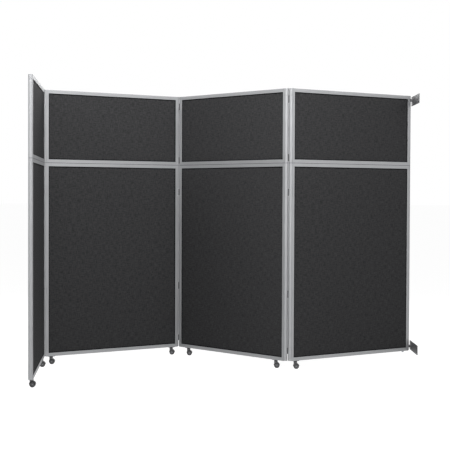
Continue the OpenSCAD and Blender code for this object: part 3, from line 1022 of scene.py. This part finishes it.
@dataclass
class TwinWheelCaster:
    """A twin-wheel swivel caster: a hooded yoke, two tyres on ribbed hubs, and an axle."""

    number: int
    yoke: bpy.types.Material
    tyre: bpy.types.Material
    hub: bpy.types.Material
    axle: bpy.types.Material
    tyre_depth: float = 7.0 * MM
    tread_round: float = 3.4 * MM
    tread_steps: int = 5
    hub_dish: float = 2.4 * MM
    hub_boss: float = 6.5 * MM
    hub_lip: float = 1.6 * MM
    hub_slope: float = 1.0 * MM
    # How far the hub's back, rim, boss and ribs stay behind the tyre's faces.
    back_inset: float = 0.4 * MM
    rim_inset: float = 0.3 * MM
    boss_inset: float = 0.6 * MM
    rib_inset: float = 0.9 * MM
    ribs: int = 6
    rib_width: float = 1.8 * MM
    # How far a rib runs into the boss and into the dish's floor.
    rib_sunk: float = 1.0 * MM
    axle_radius: float = 3.0 * MM
    axle_play: float = 0.02 * MM
    axle_dome: float = 1.0 * MM
    axle_tip: float = 0.2 * MM
    dome_steps: int = 6
    sides: int = 48
    smooth_angle: float = 35
    edge_radius: float = 1.0 * MM

    def build(self) -> None:
        """Dresses the yoke and makes the wheels in place of the frame's plain ones."""
        dress(f"caster_{self.number}_yoke", self.yoke, self.edge_radius)
        source = f"caster_{self.number}_wheels"
        roll = f"caster_{self.number}_roll"
        axis = joint_axis(roll)
        matrix = upright_matrix(joint_place(roll), Vector((axis.y, -axis.x, 0.0)))
        across = levels(source, matrix, 1)
        radius = levels(source, matrix, 2)[-1]
        outer = across[-1]
        inner = min(y for y in across if y > self.axle_radius)
        pieces = [
            (f"caster_{self.number}_tyres", self.tyre, "wheel_tread", self._tyres(radius, inner, outer)),
            (f"caster_{self.number}_hubs", self.hub, "yoke_plastic", self._hubs(radius, inner, outer)),
            (f"caster_{self.number}_axle", self.axle, "zinc_steel", self._axle(outer)),
        ]
        for name, material, slot, (points, faces) in pieces:
            piece = add_mesh(name, points, faces, material, matrix, self.smooth_angle)
            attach(piece, roll)
            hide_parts(source)
            LOG.info("made %s", name)

    def _both(self, profile: list[tuple[float, float]]) -> tuple[list, list]:
        """Turns a profile of (radius, place along the axle) into a ring on each side of the yoke."""
        mirrored = [(r, -y) for r, y in reversed(profile)]
        return merge([lathe(profile, self.sides), lathe(mirrored, self.sides)])

    def _tyres(self, radius: float, inner: float, outer: float) -> tuple[list, list]:
        """Makes the tyres: a flat tread with rounded shoulders.

        Args:
            radius: The wheel's radius.
            inner: The wheel's inner face along the axle.
            outer: Its outer face along the axle.

        Returns:
            Their points and faces.
        """
        rim = radius - self.tyre_depth
        shoulder = self.tread_round
        profile = [(rim, inner)]
        profile += arc((radius - shoulder, inner + shoulder), shoulder, -90, 0, self.tread_steps)
        profile += arc((radius - shoulder, outer - shoulder), shoulder, 0, 90, self.tread_steps)
        profile += [(rim, outer)]
        return self._both(profile)

    def _hubs(self, radius: float, inner: float, outer: float) -> tuple[list, list]:
        """Makes the hubs: a dished disc with a boss, and ribs across the dish.

        Args:
            radius: The wheel's radius.
            inner: The wheel's inner face along the axle.
            outer: Its outer face along the axle.

        Returns:
            Their points and faces.
        """
        rim = radius - self.tyre_depth
        dish = outer - self.hub_dish
        lip = rim - self.hub_lip
        back, face, boss = inner + self.back_inset, outer - self.rim_inset, outer - self.boss_inset
        profile = [
            (self.axle_radius, back),
            (rim, back),
            (rim, face),
            (lip, face),
            (lip - self.hub_slope, dish),
            (self.hub_boss + self.hub_slope, dish),
            (self.hub_boss, boss),
            (self.axle_radius, boss),
        ]
        parts = [self._both(profile)]
        for step in range(self.ribs):
            turn = 2 * math.pi * step / self.ribs
            for sign in (1, -1):
                parts.append(self._rib(turn, sign, lip, dish, outer))
        return merge(parts)

    def _rib(self, turn: float, sign: int, reach: float, dish: float, outer: float) -> tuple[list, list]:
        """Makes one rib of a hub.

        Args:
            turn: Its angle round the axle, in radians.
            sign: 1 or -1 for the wheel's side.
            reach: The radius at which it ends.
            dish: The floor of the dish along the axle.
            outer: The wheel's outer face along the axle.

        Returns:
            Its points and faces.
        """
        half, top = self.rib_width / 2, outer - self.rib_inset
        near = self.hub_boss - self.rib_sunk
        corners = [(near, -half), (reach, -half), (reach, half), (near, half)]
        points, faces = extrude(corners, dish - self.rib_sunk, top)
        cos, sin = math.cos(turn), math.sin(turn)
        placed = [(u * cos - v * sin, sign * w, u * sin + v * cos) for u, v, w in points]
        return placed, faces if sign < 0 else [face[::-1] for face in faces]

    def _axle(self, outer: float) -> tuple[list, list]:
        """Makes the axle, with domed ends.

        Args:
            outer: The wheels' outer face along the axle.

        Returns:
            Its points and faces.
        """
        radius, dome = self.axle_radius - self.axle_play, self.axle_dome
        angles = [math.pi / 2 * step / self.dome_steps for step in range(self.dome_steps)]
        profile = [(radius * math.cos(a), outer - dome + dome * math.sin(a)) for a in angles]
        profile += [(self.axle_tip, outer)]
        profile += [(r, -y) for r, y in reversed(profile)]
        return lathe(profile, self.sides // 2)


@dataclass
class WallMount:
    """The two wall plates, and the pins that join the last panel to them."""

    zinc: bpy.types.Material
    coat_low: str = "#4b4b4d"
    coat_high: str = "#565658"
    edge_radius: float = 0.9 * MM

    def build(self) -> None:
        """Dresses the plates and pins."""
        pivots = (joint_place("wall_hinge"),)
        plate = KnuckleCasting("coated_wall_plate", pivots, self.coat_low, self.coat_high).build()
        for name in ("wall_plate_top", "wall_plate_bottom"):
            dress(name, plate, self.edge_radius)
        dress("wall_pins", self.zinc)


# ---- Studio ----


@dataclass
class Lamp:
    """A rectangular soft box that points at a place."""

    name: str
    place: tuple[float, float, float]
    target: tuple[float, float, float]
    size: tuple[float, float]
    watts: float

    def build(self) -> None:
        """Makes the lamp."""
        data = bpy.data.lights.new(self.name, "AREA")
        data.shape = "RECTANGLE"
        data.size, data.size_y = self.size
        data.energy = self.watts
        lamp = bpy.data.objects.new(self.name, data)
        bpy.context.scene.collection.objects.link(lamp)
        lamp.location = self.place
        aim = Vector(self.target) - Vector(self.place)
        lamp.rotation_euler = aim.to_track_quat("-Z", "Y").to_euler()
        LOG.info("lit %s", self.name)


@dataclass
class Studio:
    """A white room with soft boxes before, above and behind, and the camera at the photo's place."""

    # The camera that fits the outlines of all four panels, with its angles in degrees.
    camera_place: tuple[float, float, float] = (-0.05538, -11.155, 1.5964)
    camera_pitch: float = -1.3962
    camera_roll: float = 0.2251
    lens: float = 98.27
    sensor: float = 36.0
    floor_size: float = 400.0
    ambient: float = 0.3
    white: float = 1.0
    floor_colour: str = "#8c8c8c"
    floor_glow: float = 0.9
    lamps: list[Lamp] = field(
        default_factory=lambda: [
            Lamp("soft_box_front", (-0.3, -4.8, 5.0), (0.0, 0.0, 2.3), (3.0, 1.4), 250.0),
            Lamp("soft_box_left", (-4.5, -4.5, 4.8), (0.2, 0.0, 2.2), (2.4, 1.4), 90.0),
            Lamp("soft_box_right", (5.0, -4.5, 4.8), (0.0, 0.2, 2.2), (2.4, 1.4), 70.0),
            Lamp("soft_box_above", (0.0, -1.9, 4.6), (0.0, 0.1, 1.2), (5.5, 1.6), 90.0),
            Lamp("soft_box_behind", (0.0, 6.0, 4.6), (0.0, 0.2, 1.4), (6.0, 3.0), 230.0),
        ]
    )

    def build(self) -> None:
        """Makes the camera, the floor, the world and the lamps."""
        self._camera()
        self._floor()
        self._world()
        for lamp in self.lamps:
            lamp.build()
        bpy.context.scene.view_settings.view_transform = "Standard"

    def _camera(self) -> None:
        """Makes the camera."""
        data = bpy.data.cameras.new("camera")
        data.lens = self.lens
        data.sensor_width = self.sensor
        camera = bpy.data.objects.new("camera", data)
        bpy.context.scene.collection.objects.link(camera)
        tilt = Matrix.Rotation(math.radians(90 + self.camera_pitch), 4, "X")
        roll = Matrix.Rotation(math.radians(self.camera_roll), 4, "Z")
        camera.matrix_world = Matrix.Translation(self.camera_place) @ tilt @ roll
        bpy.context.scene.camera = camera

    def _seen_directly(self, tree: bpy.types.NodeTree) -> bpy.types.Node:
        """Gives 1 where a ray comes from the camera, from gloss or through glass, and 0 elsewhere.

        Args:
            tree: The node tree of the floor or the world.

        Returns:
            The node that gives it.
        """
        path = add_node(tree, "LightPath").outputs
        rays = {0: path["Is Camera Ray"], 1: path["Is Glossy Ray"]}
        seen = add_node(tree, "Math", rays, operation="MAXIMUM")
        return add_node(tree, "Math", {0: seen, 1: path["Is Transmission Ray"]}, operation="MAXIMUM")

    def _floor(self) -> None:
        """Makes the floor: matt and pale, and glowing a little to the eye, so that it looks white."""
        material, tree = new_material("pale_matt_floor")
        matt = add_node(tree, "BsdfDiffuse", {"Color": linear(self.floor_colour)})
        seen = self._seen_directly(tree)
        glow = add_node(tree, "Math", {0: seen, 1: self.floor_glow}, operation="MULTIPLY")
        light = add_node(tree, "Emission", {"Strength": glow})
        both = add_node(tree, "AddShader", {0: matt, 1: light})
        add_node(tree, "OutputMaterial", {"Surface": both})
        half = self.floor_size / 2
        corners = [(-half, -half, 0.0), (half, -half, 0.0), (half, half, 0.0), (-half, half, 0.0)]
        floor = add_mesh("floor", corners, [(0, 1, 2, 3)], material, Matrix.Identity(4))

    def _world(self) -> None:
        """Makes the world: white to the eye, and a soft even light on everything."""
        world = bpy.data.worlds.new("studio")
        bpy.context.scene.world = world
        world.use_nodes = True
        tree = world.node_tree
        tree.nodes.clear()
        cast, seen = (
            add_node(tree, "Background", {"Color": (1.0, 1.0, 1.0, 1.0), "Strength": strength})
            for strength in (self.ambient, self.white)
        )
        mixed = add_node(tree, "MixShader", {0: self._seen_directly(tree), 1: cast, 2: seen})
        add_node(tree, "OutputWorld", {"Surface": mixed})


def main() -> None:
    """Builds the studio and every sub-assembly, in order."""
    logging.basicConfig(level=logging.INFO, format="%(name)s: %(message)s")
    Studio().build()
    zinc = ZINC_STEEL.build()
    shared = {
        "cloth": WovenPanelFabric().build(),
        "bead": EPDM_BEAD.build(),
        "upright": AnodisedAluminium("anodised_aluminium_upright", seam_height=seam_height()).build(),
        "board": KRAFT_BOARD.build(),
        "zinc": zinc,
        "plate": POWDER_CASTER.build(),
    }
    for number in range(1, PANELS + 1):
        Panel(number, **shared).build()
    seal = PVC_SEAL.build()
    for number in range(1, PANELS):
        HingeCorner(number, zinc, seal).build()
    yoke, tyre, hub = NYLON_YOKE.build(), RUBBER_TYRE.build(), NYLON_HUB.build()
    for number in range(1, CASTERS + 1):
        TwinWheelCaster(number, yoke, tyre, hub, zinc).build()
    WallMount(zinc).build()


if __name__ == "__main__":
    main()
